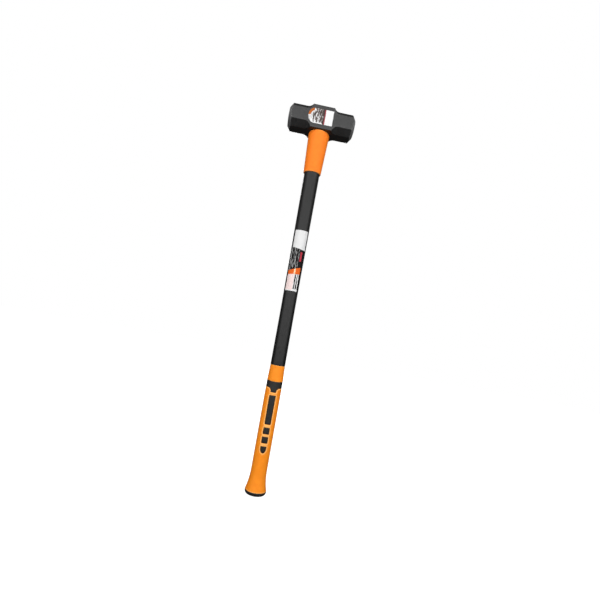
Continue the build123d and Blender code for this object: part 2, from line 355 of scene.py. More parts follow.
class Value:
    """A number or colour worked out by shader nodes, which takes ordinary arithmetic."""

    def __init__(self, nodes, socket):
        self.nodes = nodes
        self.socket = socket

    def __add__(self, other):
        return self.nodes.math("ADD", self, other)

    def __sub__(self, other):
        return self.nodes.math("SUBTRACT", self, other)

    def __rsub__(self, other):
        return self.nodes.math("SUBTRACT", other, self)

    def __mul__(self, other):
        return self.nodes.math("MULTIPLY", self, other)

    def __truediv__(self, other):
        return self.nodes.math("DIVIDE", self, other)

    def __gt__(self, other):
        return self.nodes.math("GREATER_THAN", self, other)

    def __lt__(self, other):
        return self.nodes.math("LESS_THAN", self, other)

    def __abs__(self):
        return self.nodes.math("ABSOLUTE", self)


class Nodes:
    """A tree of shader nodes."""

    def __init__(self, tree):
        self.tree = tree

    def add(self, kind, **settings):
        node = self.tree.nodes.new("ShaderNode" + kind)
        for name, setting in settings.items():
            setattr(node, name, setting)
        return node

    def feed(self, socket, value):
        if isinstance(value, Value):
            self.tree.links.new(value.socket, socket)
        else:
            socket.default_value = value

    def output(self, node, name=0):
        return Value(self, node.outputs[name])

    def axes(self, vector):
        split = self.add("SeparateXYZ")
        self.feed(split.inputs[0], vector)
        return [Value(self, socket) for socket in split.outputs]

    def math(self, operation, first, second=0.0):
        node = self.add("Math", operation=operation)
        self.feed(node.inputs[0], first)
        self.feed(node.inputs[1], second)
        return self.output(node)

    def scaled(self, vector, factors):
        node = self.add("VectorMath", operation="MULTIPLY")
        self.feed(node.inputs[0], vector)
        self.feed(node.inputs[1], factors)
        return self.output(node)

    def distance(self, first, second):
        """Length of the diagonal over two lengths at right angles."""
        return self.math("SQRT", first * first + second * second)

    def between(self, value, low, high):
        """1 where the value lies between low and high, else 0."""
        return (value > low) * (value < high)

    def span(self, value, low, high, to_low=0.0, to_high=1.0):
        """Maps low..high smoothly onto to_low..to_high."""
        node = self.add("MapRange", interpolation_type="SMOOTHSTEP")
        for name, number in zip(("Value", "From Min", "From Max", "To Min", "To Max"),
                                (value, low, high, to_low, to_high)):
            self.feed(node.inputs[name], number)
        return self.output(node)

    def mix(self, amount, first, second):
        """Blends two colours, or two numbers."""
        flat = isinstance(first, float)
        if isinstance(first, Value):
            flat = first.socket.type == "VALUE"
        kind = "VALUE" if flat else "RGBA"
        node = self.add("Mix", data_type="FLOAT" if flat else "RGBA")
        inputs = [socket for socket in node.inputs if socket.type == kind]
        self.feed(node.inputs["Factor"], amount)
        self.feed(inputs[-2], first)
        self.feed(inputs[-1], second)
        return Value(self, next(socket for socket in node.outputs if socket.type == kind))


class Paint(Nodes):
    """A material's nodes. Places and sizes in it are in millimetres."""

    def __init__(self, name):
        self.material = bpy.data.materials.new(name)
        self.material.use_nodes = True
        super().__init__(self.material.node_tree)
        self.surface = self.tree.nodes["Principled BSDF"]
        coordinates = self.output(self.add("TexCoord"), "Object")
        self.place = self.scaled(coordinates, (1 / MM, 1 / MM, 1 / MM))
        self.x, self.y, self.z = self.axes(self.place)

    def noise(self, size, detail=2.0, stretch=(1, 1, 1), roughness=0.55):
        """Noise from 0 to 1 whose cells are about size across, times stretch on each axis."""
        node = self.add("TexNoise")
        node.inputs["Scale"].default_value = 1.0
        node.inputs["Detail"].default_value = detail
        node.inputs["Roughness"].default_value = roughness
        factors = [1 / (size * amount) for amount in stretch]
        self.feed(node.inputs["Vector"], self.scaled(self.place, factors))
        return self.output(node, "Fac")

    def rings(self, radius, size):
        """Noise that changes only with the distance from an axis, in steps of about size."""
        node = self.add("TexNoise", noise_dimensions="1D")
        node.inputs["Scale"].default_value = 1 / size
        self.feed(node.inputs["W"], radius)
        return self.output(node, "Fac")

    def edge(self):
        """The mesh's mark of its rounded edges."""
        return self.output(self.add("Attribute", attribute_name="edge"), "Fac")

    def set(self, socket, value):
        self.feed(self.surface.inputs[socket], value)

    def finish(self, base, roughness, bumps, specular=0.5):
        """Sets the surface. bumps are (noise or mask, depth in millimetres)."""
        self.set("Base Color", base)
        self.set("Roughness", roughness)
        self.set("Specular IOR Level", specular)
        total = 0.0
        for value, depth in bumps:
            total = value * depth + total
        node = self.add("Bump")
        node.inputs["Strength"].default_value = 1.0
        node.inputs["Distance"].default_value = MM
        self.feed(node.inputs["Height"], total)
        self.set("Normal", self.output(node, "Normal"))
        return self.material


def forged_head_material():
    """Black lacquer over forged steel, with bare ground steel on the faces and their bevels."""
    paint = Paint("lacquered_forging")
    radius = paint.distance(paint.y, paint.z - HEAD_AXIS)
    along = abs(paint.x)
    rim = HEAD_END - FACE_CROWN + FACE_BEVEL_SLOPE * FACE_RADIUS
    ragged = paint.span(paint.noise(2.5, detail=3.0), 0.3, 0.7, -0.2, 0.2)
    on_bevel = paint.span(radius * FACE_BEVEL_SLOPE - rim + along + ragged, -0.45, -0.15)
    on_face = along > HEAD_END - FACE_CROWN - GROUND_EDGE
    ground = paint.math("MAXIMUM", on_bevel, on_face)
    painted = 1.0 - ground

    broad = paint.noise(22.0, detail=3.0)
    fine = paint.noise(3.2, detail=4.0)
    # edge wear and a painted highlight: the lacquer turns paler along rounded edges
    edge_wear_and_sheen = paint.edge() * paint.span(fine, 0.35, 0.75)
    lacquer = paint.mix(paint.span(broad, 0.3, 0.7), grey(0.007), grey(0.012))
    lacquer = paint.mix(edge_wear_and_sheen, lacquer, grey(0.045))
    steel = paint.mix(paint.noise(1.5, detail=4.0), grey(0.36), grey(0.48))
    paint.set("Metallic", ground)
    lacquer_roughness = paint.span(fine, 0.25, 0.75, 0.4, 0.52)
    steel_roughness = paint.span(fine, 0.25, 0.75, 0.38, 0.48)
    roughness = paint.mix(ground, lacquer_roughness, steel_roughness)
    scale_pits = paint.span(paint.noise(5.0, detail=4.0), 0.3, 0.45)
    bumps = (
        (paint.rings(radius, 1.1) * ground, 0.02),
        (paint.noise(1.4, detail=1.0) * painted, 0.05),
        (scale_pits * painted, 0.05),
        (broad * painted, 0.3),
    )
    return paint.finish(paint.mix(ground, lacquer, steel), roughness, bumps, specular=0.58)


def jacket_material():
    """Satin moulded black plastic with a fine grain and faint drawn streaks."""
    paint = Paint("satin_jacket")
    streaks = paint.noise(3.0, detail=3.0, stretch=(1, 1, 40))
    scuffs = paint.noise(9.0, detail=5.0)
    base = paint.mix(paint.span(streaks, 0.3, 0.7), grey(0.004), grey(0.008))
    satin = paint.span(streaks, 0.25, 0.75, 0.34, 0.44)
    roughness = paint.mix(paint.span(scuffs, 0.55, 0.8), satin, 0.58)
    bumps = ((paint.noise(0.7), 0.03), (streaks, 0.04))
    return paint.finish(base, roughness, bumps, specular=0.31)


def orange_rubber(name, body, deep, wear_and_sheen):
    """Soft moulded rubber: a little mottled, with a painted highlight where its edges are rounded,
    and painted shade in the pockets and right at its edges, where edge is negative."""
    paint = Paint(name)
    mottle = paint.noise(14.0, detail=4.0)
    dust_and_sheen = paint.noise(2.6, detail=4.0)
    edge = paint.edge()
    base = paint.mix(paint.span(mottle, 0.3, 0.7), body, deep)
    # painted highlight: the rounded edges turn paler, patchily
    base = paint.mix(edge * paint.span(dust_and_sheen, 0.1, 0.6, 0.55, 1.0), base, wear_and_sheen)
    # painted shade in the pockets and right at the rubber's edges
    painted_shade = paint.span(edge, POCKET_EDGE, 0.0, 1.0, 0.0)
    base = paint.mix(painted_shade, base, colour(0.02, 0.007, 0.001))
    roughness = paint.span(dust_and_sheen, 0.25, 0.75, 0.5, 0.64)
    bumps = ((paint.noise(0.8), 0.035), (mottle, 0.12))
    return paint.finish(base, roughness, bumps, specular=0.2)


def black_rubber(name, body, wear_and_sheen, low_roughness, high_roughness):
    """Dark moulded rubber with a pebbled grain and dustier edges."""
    paint = Paint(name)
    dust_and_sheen = paint.noise(4.0, detail=4.0)
    base = paint.mix(paint.span(dust_and_sheen, 0.35, 0.75, 0.0, 0.6), body, wear_and_sheen)
    base = paint.mix(paint.edge() * 0.3, base, wear_and_sheen)
    roughness = paint.span(dust_and_sheen, 0.25, 0.75, low_roughness, high_roughness)
    bumps = ((paint.noise(0.9), 0.06), (dust_and_sheen, 0.06))
    return paint.finish(base, roughness, bumps, specular=0.3)


def fibreglass_material():
    """Sawn glass fibre: straw-coloured resin with the cut ends of the strands."""
    paint = Paint("sawn_fibreglass")
    strands = paint.noise(0.35, detail=1.0, stretch=(1, 1, 60))
    cloud = paint.noise(4.0, detail=3.0)
    resin = paint.mix(paint.span(cloud, 0.3, 0.7), colour(0.5, 0.42, 0.2), colour(0.66, 0.6, 0.36))
    base = paint.mix(paint.span(strands, 0.45, 0.7), resin, colour(0.8, 0.77, 0.6))
    roughness = paint.span(strands, 0.3, 0.7, 0.45, 0.65)
    return paint.finish(base, roughness, ((strands, 0.06), (cloud, 0.1)))


def resin_material():
    """Black cast resin, glossy, with small bubbles at its surface."""
    paint = Paint("cast_resin")
    flow = paint.noise(6.0)
    bubbles = paint.span(paint.noise(1.1, detail=1.0), 0.22, 0.3)
    base = paint.mix(flow, grey(0.02), colour(0.05, 0.042, 0.03))
    roughness = paint.span(flow, 0.3, 0.7, 0.12, 0.26)
    return paint.finish(base, roughness, ((bubbles, 0.12), (flow, 0.3)))


def finish_sticker(paint, print_colour):
    """Coated paper: a slight tooth, and a gloss that varies with its wrinkles."""
    wrinkle = paint.noise(12.0, detail=3.0)
    base = paint.mix(paint.span(wrinkle, 0.3, 0.8, 0.0, 0.015), print_colour, grey(0.5))
    roughness = paint.span(wrinkle, 0.3, 0.7, 0.36, 0.5)
    bumps = ((paint.noise(0.5), 0.012), (wrinkle, 0.12))
    return paint.finish(base, roughness, bumps, specular=0.06)


def head_sticker_material():
    """Plain print: an orange crescent at the nose, dark strokes, a red rule and a white panel."""
    paint = Paint("head_sticker_print")
    up = paint.z - HEAD_AXIS
    half_height = (HEAD_LABEL_HIGH[2] - HEAD_LABEL_LOW[2]) / 2
    nose = HEAD_LABEL_LOW[0] + HEAD_LABEL_NOSE
    inked_from = nose - HEAD_INK_LEFT
    rule_left, rule_right = HEAD_LABEL_RULE
    strokes = paint.noise(2.2, stretch=(1, 1, 5), roughness=0.7)

    drift = (paint.x - nose) * (INK_DRIFT / 14.0) + up * (INK_DRIFT / half_height)
    inked = paint.between(paint.x, inked_from, rule_left) * (up > -0.9 * half_height)
    ink = inked * paint.span(strokes + drift, 0.44, 0.56)
    faint = (paint.x < inked_from) * paint.span(strokes, 0.52, 0.6) * 0.5
    ink = paint.math("MAXIMUM", ink, faint)
    print_colour = paint.mix(ink, grey(0.74), colour(0.07, 0.05, 0.045))

    from_centre = paint.distance((paint.x - nose) / HEAD_LABEL_NOSE, up / half_height)
    crescent = (from_centre > CRESCENT_INSIDE) * (up > 0.0) * (paint.x < nose - CRESCENT_LEFT)
    print_colour = paint.mix(crescent, print_colour, colour(0.4, 0.105, 0.02))
    shade = paint.between(paint.x, HEAD_LABEL_SHADE, rule_left) * paint.span(strokes, 0.34, 0.44)
    print_colour = paint.mix(shade, print_colour, colour(0.05, 0.03, 0.03))
    rule = paint.between(paint.x, rule_left, rule_right)
    print_colour = paint.mix(rule, print_colour, colour(0.3, 0.05, 0.06))
    return finish_sticker(paint, print_colour)


def shaft_sticker_material():
    """Plain print: a white panel, a black panel with grey strokes and a red bar, an orange block
    and a pale panel with dark strokes."""
    paint = Paint("shaft_sticker_print")
    top, bottom = SHAFT_LABEL_HIGH[2], SHAFT_LABEL_LOW[2]
    white, black = grey(0.7), grey(0.004)
    broken = paint.noise(2.6, detail=1.0, stretch=(1, 1, 6), roughness=0.7)

    def under(panel):
        """1 below the slanting top of a panel, else 0."""
        drop, slant = panel
        return paint.z < paint.x * slant + (top - drop)

    def strokes(pitch, gap):
        """Upright strokes, one in each pitch, with a gap of that share of it."""
        return paint.math("FRACT", paint.x / pitch) > gap

    light_strokes = strokes(LIGHT_STROKE_PITCH, 0.6) * paint.span(broken, 0.44, 0.54)
    black_panel = paint.mix(light_strokes * (paint.x < LIGHT_STROKES_TO), black, grey(0.42))
    (bar_left, bar_right), (bar_low, bar_high) = RED_BAR
    red_bar = paint.between(paint.x, bar_left, bar_right)
    red_bar = red_bar * paint.between(paint.z, top - bar_low, top - bar_high)
    black_panel = paint.mix(red_bar, black_panel, colour(0.42, 0.03, 0.05))
    pale_bar = paint.between(paint.x, *PALE_BAR)
    orange_panel = paint.mix(pale_bar, colour(0.72, 0.12, 0.012), colour(0.85, 0.6, 0.36))
    right_part = paint.x > DARK_STROKES_FROM
    dark_strokes = strokes(DARK_STROKE_PITCH, 0.36) * paint.span(broken, 0.36, 0.46)
    dark_strokes = dark_strokes * right_part * (paint.z > bottom + DARK_STROKES_END)
    pale_panel = paint.mix(right_part, colour(0.8, 0.64, 0.62), white)
    pale_panel = paint.mix(dark_strokes, pale_panel, black)

    print_colour = paint.mix(under(BLACK_PANEL), white, black_panel)
    print_colour = paint.mix(under(ORANGE_PANEL), print_colour, orange_panel)
    print_colour = paint.mix(under(PALE_PANEL), print_colour, pale_panel)
    print_colour = paint.mix(paint.z < bottom + WHITE_HEM, print_colour, white)
    margin = (paint.x > SHAFT_LABEL_HIGH[0] - BLACK_MARGIN) * under(BLACK_PANEL)
    print_colour = paint.mix(margin, print_colour, black)
    return finish_sticker(paint, print_colour)


# Head =======================================================================================
def section_points(chamfer):
    """The head's section: a rectangle with 45 degree corners, each edge rounded."""
    turn = math.radians(45)
    tangent = FORGED_EDGE * math.tan(turn / 2)
    flat_steps, facet_steps, round_steps = 18, 9, 5
    width, height = HEAD_HALF_WIDTH, HEAD_HALF_HEIGHT
    upper_half = [
        (width, height - chamfer),
        (width - chamfer, height),
        (-(width - chamfer), height),
        (-width, height - chamfer),
    ]
    lower_half = [(-across, -up) for across, up in upper_half]
    corners = [Vector(place) for place in upper_half + lower_half]
    points = []
    edge = []
    for index, corner in enumerate(corners):
        following = corners[(index + 1) % len(corners)]
        before = (corners[index - 1] - corner).normalized()
        after = (following - corner).normalized()
        start, end = corner + before * tangent, corner + after * tangent
        centre = corner + (before + after).normalized() * FORGED_EDGE / math.cos(turn / 2)
        for step in range(round_steps):
            share = step / round_steps
            spoke = (start - centre).lerp(end - centre, share).normalized() * FORGED_EDGE
            points.append(centre + spoke)
            edge.append(rounding_weight(share))
        steps = facet_steps if index % 2 == 0 else flat_steps
        for step in range(steps):
            points.append(end.lerp(following - after * tangent, step / steps))
            edge.append(0.0)
    return np.array(points), np.array(edge)


def chamfer_at(along):
    """The facets' leg at a distance from the head's middle."""
    smallest = 2 * FORGED_EDGE * math.tan(math.radians(22.5)) / math.sqrt(2)
    depth = ARM_CHAMFER / math.sqrt(2)
    radius = (RUNOUT_LENGTH ** 2 + depth ** 2) / (2 * depth)
    left = CHEEK_HALF_LENGTH + RUNOUT_LENGTH - along
    if left <= 0:
        return ARM_CHAMFER
    if left >= RUNOUT_LENGTH:
        return smallest
    rise = radius - math.sqrt(radius ** 2 - left ** 2)
    return max(smallest, ARM_CHAMFER - math.sqrt(2) * rise)


def ground_end(radius):
    """How far along the head its ground end reaches at a distance from the axis."""
    crown_radius = (FACE_RADIUS ** 2 + FACE_CROWN ** 2) / (2 * FACE_CROWN)
    height = np.sqrt(crown_radius ** 2 - np.minimum(radius, FACE_RADIUS) ** 2)
    on_crown = HEAD_END - crown_radius + height
    on_bevel = HEAD_END - FACE_CROWN - FACE_BEVEL_SLOPE * (radius - FACE_RADIUS)
    return np.where(radius > FACE_RADIUS, on_bevel, on_crown)


def worn_corner(before, corner, after, steps=4):
    """Rows that turn smoothly from one surface to the next past a corner."""
    rows = []
    for share in np.linspace(0, 1, steps + 1):
        left = 1 - share
        rows.append(left ** 2 * before + 2 * share * left * corner + share ** 2 * after)
    return rows


def head_half_rows():
    """Rings of (along, across, up) from the middle of the head to the centre of one face."""
    rows = []
    edges = []

    def add(row, edge):
        rows.append(row)
        edges.append(edge)

    arm_section, arm_edge = section_points(ARM_CHAMFER)
    radii = np.hypot(arm_section[:, 0], arm_section[:, 1])
    directions = arm_section / radii[:, None]
    runout_end = CHEEK_HALF_LENGTH + RUNOUT_LENGTH
    stations = list(np.linspace(0, CHEEK_HALF_LENGTH, 18)[:-1])
    stations += list(np.linspace(CHEEK_HALF_LENGTH, runout_end, 26))
    for along in stations:
        section, edge = section_points(chamfer_at(along))
        add(np.column_stack([np.full(len(section), along), section]), edge)

    arm_end = ground_end(radii) - GROUND_EDGE
    for share in np.linspace(0, 1, 24)[1:-1]:
        along = runout_end + share * (arm_end - runout_end)
        add(np.column_stack([along, arm_section]), arm_edge)

    def on_end(radius):
        return np.column_stack([ground_end(radius), directions * radius[:, None]])

    wear_and_sheen = np.ones(len(radii))
    sharp = np.zeros(len(radii))
    face_edge = np.full(len(radii), FACE_RADIUS)
    bevel_outer, bevel_inner = radii - GROUND_EDGE, face_edge + GROUND_EDGE
    before = np.column_stack([arm_end, arm_section])
    for row in worn_corner(before, on_end(radii), on_end(bevel_outer)):
        add(row, wear_and_sheen)
    for share in np.linspace(0, 1, 9)[1:-1]:
        add(on_end((1 - share) * bevel_outer + share * bevel_inner), sharp)
    face_outer = face_edge - GROUND_EDGE
    for row in worn_corner(on_end(bevel_inner), on_end(face_edge), on_end(face_outer)):
        add(row, wear_and_sheen)
    for share in np.linspace(1, 0, 14)[1:]:
        add(on_end(share * face_outer), sharp)
    return rows, edges


def forging_dent(point):
    """How far the forged surface lies under its nominal place, from 0 to FORGING_WAVE."""
    broad = noise.noise(point / 24.0)
    small = noise.noise(point / 7.0 + Vector((40.0, 0.0, 0.0)))
    return FORGING_WAVE * min(1.0, max(0.0, 0.5 + 0.6 * broad + 0.25 * small))


def eye_cutter():
    """A closed hourglass that cuts the oval eye and breaks the edges of its mouths."""
    bottom, top = HEAD_BOTTOM - CUT_PAST, HEAD_TOP + CUT_PAST
    levels = (
        (bottom, EYE_MOUTH, EYE_LIP + CUT_PAST),
        (HEAD_BOTTOM + EYE_LIP, EYE_MOUTH, 0.0),
        (HEAD_AXIS, EYE_WAIST, 0.0),
        (HEAD_TOP - EYE_LIP, EYE_MOUTH, 0.0),
        (top, EYE_MOUTH, EYE_LIP + CUT_PAST),
    )
    stations = [(0.0, 0.0, bottom, 0.0)]
    for height, (width, depth), growth in levels:
        stations.append((width / 2 + growth, depth / 2 + growth, height, 0.0))
    stations.append((0.0, 0.0, top, 0.0))
    points, edge = oval_rings(stations)
    return closed_object("eye_cutter", points, band_faces(len(stations), OVAL_COLUMNS), edge)


def cut(piece, cutter):
    """Takes the cutter's shape out of the piece for good."""
    modifier = piece.modifiers.new("cut", "BOOLEAN")
    modifier.operation = "DIFFERENCE"
    modifier.solver = "EXACT"
    modifier.object = cutter
    graph = bpy.context.evaluated_depsgraph_get()
    result = bpy.data.meshes.new_from_object(piece.evaluated_get(graph))
    shape = bmesh.new()
    shape.from_mesh(result)
    many_sided = [face for face in shape.faces if len(face.verts) > 4]
    bmesh.ops.triangulate(shape, faces=many_sided)
    bmesh.ops.dissolve_degenerate(shape, edges=shape.edges, dist=SAME_PLACE)
    shape.to_mesh(result)
    shape.free()
    piece.modifiers.clear()
    before = piece.data
    piece.data = result
    bpy.data.meshes.remove(before)
    bpy.data.objects.remove(cutter)


def make_head(material):
    half_rows, half_edges = head_half_rows()
    columns = len(half_rows[0])
    mirrored = [row * np.array([-1.0, 1.0, 1.0]) for row in reversed(half_rows[1:])]
    points = np.concatenate(mirrored + half_rows)
    edge = np.concatenate([*reversed(half_edges[1:]), *half_edges])
    forged_end = HEAD_END - FACE_CROWN - FORGING_CLEAR
    for index, point in enumerate(points):
        if abs(point[0]) < forged_end:
            outward = Vector((0.0, point[1], point[2])).normalized()
            points[index] -= np.array(outward) * forging_dent(Vector(point))
    points[:, 2] += HEAD_AXIS
    faces = band_faces(len(points) // columns, columns)
    head = closed_object("forged_head", points, faces, edge)
    cut(head, eye_cutter())
    finish_piece(head, ["hammer_head"], material)


# Shaft ======================================================================================
def curve_through(stations):
    """A smooth function through (place, value) pairs."""
    places = np.array([place for place, _ in stations])
    values = [value for _, value in stations]
    middle = places.mean()
    reach = np.ptp(places) / 2
    factors = np.polyfit((places - middle) / reach, values, len(stations) - 1)
    return lambda place: float(np.polyval(factors, (place - middle) / reach))


shaft_width = curve_through(SHAFT_STATIONS)


def shaft_half_sizes(height, growth=0.0):
    width = shaft_width(height)
    return width / 2 + growth, OVAL_RATIO * width / 2 + growth


def make_jacket(material):
    bottom = GRIP_TOP + JACKET_GAP
    neck = (NECK_WIDTH / 2, NECK_DEPTH / 2)
    bore = (CORE_WIDTH / 2 + JACKET_GAP, CORE_DEPTH / 2 + JACKET_GAP)
    stations = [(*neck, JACKET_BOTTOM, 0.0), (*neck, bottom, 0.0)]
    stations += rounded_wall(bottom, HEAD_BOTTOM, shaft_half_sizes, *JACKET_ROUNDS, 60)
    stations += [(*bore, HEAD_BOTTOM, 0.0), (*bore, JACKET_BOTTOM, 0.0)]
    oval_piece("shaft_jacket", stations, ["handle_jacket"], material, tube=True)


def make_guard(material):
    bottom, top = GUARD_LOW[2], GUARD_HIGH[2]
    heights = (bottom, (bottom + top) / 2, top)
    sizes = (GUARD_BOTTOM, GUARD_MIDDLE, GUARD_TOP)
    width = curve_through([(height, size[0]) for height, size in zip(heights, sizes)])
    depth = curve_through([(height, size[1]) for height, size in zip(heights, sizes)])

    def outside(height):
        return width(height) / 2, depth(height) / 2

    stations = rounded_wall(bottom, top, outside, GUARD_LIP, GUARD_SHOULDER, 40)
    for height in np.linspace(top, bottom, 12):
        stations.append((*shaft_half_sizes(height, GUARD_GAP), height, 0.0))
    oval_piece("strike_guard", stations, ["overstrike_guard"], material, tube=True)


def make_core(material):
    bottom, top = CORE_LOW[2], CORE_HIGH[2]
    half_width, half_depth = CORE_WIDTH / 2, CORE_DEPTH / 2
    stations = [
        (0.0, 0.0, bottom, 0.0),
        (half_width, half_depth, bottom, 0.0),
        (half_width, half_depth, top - CORE_BREAK, 0.0),
        (half_width - CORE_BREAK, half_depth - CORE_BREAK, top, 1.0),
        (half_width / 2, half_depth / 2, top, 0.0),
        (0.0, 0.0, top, 0.0),
    ]
    oval_piece("fibreglass_core", stations, ["handle_core"], material)


def make_eye_resin(material):
    """The resin round the core, with a surface that sinks between the core and the eye."""
    bottom, top = EPOXY_LOW[2], EPOXY_HIGH[2]

    def wall(height):
        share = abs(height - HEAD_AXIS) / HEAD_HALF_HEIGHT
        width = EYE_WAIST[0] + share * (EYE_MOUTH[0] - EYE_WAIST[0])
        depth = EYE_WAIST[1] + share * (EYE_MOUTH[1] - EYE_WAIST[1])
        return width / 2 - RESIN_GAP, depth / 2 - RESIN_GAP

    core = (CORE_WIDTH / 2 + RESIN_GAP, CORE_DEPTH / 2 + RESIN_GAP)
    stations = [(*wall(height), height, 0.0) for height in np.linspace(bottom, top, 10)]
    outer = wall(top)
    for share in np.linspace(0, 1, 9)[1:]:
        half_width = outer[0] + share * (core[0] - outer[0])
        half_depth = outer[1] + share * (core[1] - outer[1])
        sunk = RESIN_SINK * math.sin(math.pi * share)
        stations.append((half_width, half_depth, top - sunk, 0.0))
    stations.append((*core, bottom, 0.0))
    oval_piece("eye_resin", stations, ["eye_epoxy"], material, tube=True)


# Grip =======================================================================================
def unit_depth(share):
    """Depth of a circle of radius 1 at a distance from its middle."""
    return math.sqrt(max(0.0, 1 - share ** 2))


def grip_half_sizes(height):
    """Half width and half depth of the grip's outer shape."""
    if height > BAND_TOP_AT_SIDES:
        share = (height - BAND_TOP_AT_SIDES) / (GRIP_TOP - BAND_TOP_AT_SIDES)
        width = GRIP_WIDTH + share * (RING_TOP_WIDTH - GRIP_WIDTH)
        return width / 2, OVAL_RATIO * width / 2
    rise = min(1.0, max(0.0, (height - CAP_TOP) / FLARE_RISE))
    swell = (1 - rise) ** FLARE_POWER
    grip_depth = OVAL_RATIO * GRIP_WIDTH
    width = GRIP_WIDTH + swell * (BUTT_WIDTH - GRIP_WIDTH)
    depth = grip_depth + swell * (BUTT_DEPTH - grip_depth)
    return width / 2, depth / 2


def on_grip(place, side, height, inset):
    """The point under a place in the front view, on the front (-1) or the back (+1)."""
    half_width, half_depth = grip_half_sizes(height)
    deep = (half_depth - inset) * unit_depth(place / (half_width - inset))
    return place, side * deep, height


def on_column(across, side, height, inset, sideways=1.0):
    """The point at a height on one of the grip's columns, which spread where the grip flares.
    sideways is the share of the inset that moves it towards the middle line as well."""
    half_width, _ = grip_half_sizes(height)
    place = (half_width - sideways * inset) * across / (GRIP_WIDTH / 2)
    return on_grip(place, side, height, inset)


def in_bore(across, side, height):
    """The point of the grip's bore behind a column."""
    share = across / (GRIP_WIDTH / 2)
    half_width, half_depth = NECK_WIDTH / 2 + BORE_GAP, NECK_DEPTH / 2 + BORE_GAP
    return half_width * share, side * half_depth * unit_depth(share), height


def around_grip(places):
    """Columns (across, side) all round the grip from their places between middle and side."""
    right = [(place, -1) for place in places]
    right += [(GRIP_WIDTH / 2, 0)]
    right += [(place, 1) for place in reversed(places)]
    return right + [(-across, -side) for across, side in right if across > 0]


def band_edge(across):
    """Height of the sleeve's upper edge, which runs down round the band's V tab."""
    off = abs(across)
    if off <= TAB_HALF_WIDTH:
        return TAB_BOTTOM
    if off >= TAB_HALF_WIDTH + TAB_SIDE_RADIUS:
        return BAND_BOTTOM
    left = TAB_HALF_WIDTH + TAB_SIDE_RADIUS - off
    return BAND_BOTTOM - TAB_SIDE_RADIUS + math.sqrt(TAB_SIDE_RADIUS ** 2 - left ** 2)


def band_top(across):
    share = min(1.0, abs(across) / (GRIP_WIDTH / 2))
    return BAND_TOP_AT_SIDES - BAND_TOP_DIP * (1 - share ** 2)


def evenly_spaced(line, spacing):
    """The same closed line, with points about spacing apart."""
    closed = np.vstack([line, line[:1]])
    steps = np.linalg.norm(np.diff(closed, axis=0), axis=1)
    walked = np.concatenate([[0.0], np.cumsum(steps)])
    places = np.linspace(0, walked[-1], max(8, int(walked[-1] / spacing)) + 1)[:-1]
    return np.column_stack([np.interp(places, walked, closed[:, axis]) for axis in (0, 1)])


def pad_outline(stem, gap=0.0, spacing=0.4):
    """Points round a window in the front view, or round its pad when pulled in by a gap."""
    bottom, top = WINDOW_HEIGHTS[stem]
    line = []
    if stem == "grip_bullet":
        nose = bottom + BULLET_SHOULDER * (top - bottom)
        half, length = BULLET_HALF_WIDTH - gap, nose - bottom - gap
        for turn in np.linspace(math.pi, 2 * math.pi, 40):
            line.append((half * math.cos(turn), nose + length * math.sin(turn)))
        line += [(half, top - gap), (-half, top - gap)]
    else:
        low_half, high_half = (half - gap - PAD_CORNER for half in WINDOW_HALF_WIDTHS[stem])
        low, high = bottom + gap + PAD_CORNER, top - gap - PAD_CORNER
        centres = ((low_half, low), (high_half, high), (-high_half, high), (-low_half, low))
        for quarter, (across, height) in enumerate(centres):
            for step in range(7):
                turn = (quarter - 1 + step / 6) * math.pi / 2
                place = (across + PAD_CORNER * math.cos(turn), height + PAD_CORNER * math.sin(turn))
                line.append(place)
    return evenly_spaced(np.array(line), spacing)


def half_width_at(stem, height):
    """Half width of a window at a height within it."""
    bottom, top = WINDOW_HEIGHTS[stem]
    if stem == "grip_bullet":
        nose = bottom + BULLET_SHOULDER * (top - bottom)
        return BULLET_HALF_WIDTH * unit_depth(max(0.0, nose - height) / (nose - bottom))
    low_half, high_half = WINDOW_HALF_WIDTHS[stem]
    return low_half + (high_half - low_half) * (height - bottom) / (top - bottom)


def in_window(across, height):
    """True inside a window, whose corners are cut a little."""
    for stem in PAD_STEMS:
        bottom, top = WINDOW_HEIGHTS[stem]
        if bottom < height < top:
            spare = half_width_at(stem, height) - abs(across)
            near_end = min(height - bottom, top - height)
            if stem == "grip_bullet":
                near_end = top - height
            return spare > 0 and spare + near_end > 0.6 * PAD_CORNER
    return False


def sleeve_columns():
    """Places from the middle outwards: close together at the windows' edges, sparse beyond."""
    places = list(np.arange(0.0, WINDOW_MIDDLE_HALF - 0.3, 0.45))
    for step in (*EDGE_STEPS, 1.8, 2.6, 3.6, 4.8, 6.2, 7.8, 9.4, 10.8):
        places.append(WINDOW_MIDDLE_HALF + step)
    half_width = GRIP_WIDTH / 2
    turns = np.linspace(math.acos(places[-1] / half_width), 0, 8)[1:-1]
    return places + [half_width * math.cos(turn) for turn in turns]


def sleeve_rows():
    """Heights of the sleeve's rings up to just under the band's tab."""
    rows = list(CAP_TOP + RUBBER_EDGE * (1 - np.cos(np.linspace(0, math.pi / 2, 6))))
    rows += list(np.linspace(CAP_TOP + RUBBER_EDGE, CAP_TOP + FLARE_RISE, 26)[1:])
    for stem in PAD_STEMS:
        bottom, top = WINDOW_HEIGHTS[stem]
        for step in (*EDGE_STEPS, 2.0):
            rows += [bottom - step, top + step]
        gap = 0.45 if stem == "grip_bullet" else 3.0
        rows += list(np.linspace(bottom + 0.4, top - 0.4, max(4, int((top - bottom) / gap))))
    bullet_bottom = WINDOW_HEIGHTS["grip_bullet"][0]
    rows += list(np.linspace(CAP_TOP + FLARE_RISE, bullet_bottom - 3, 12)[1:])
    highest = TAB_BOTTOM - UNDER_TAB
    kept = []
    for height in sorted(rows):
        if height <= highest and (not kept or height - kept[-1] > ROW_GAP):
            kept.append(height)
    return kept + [highest]


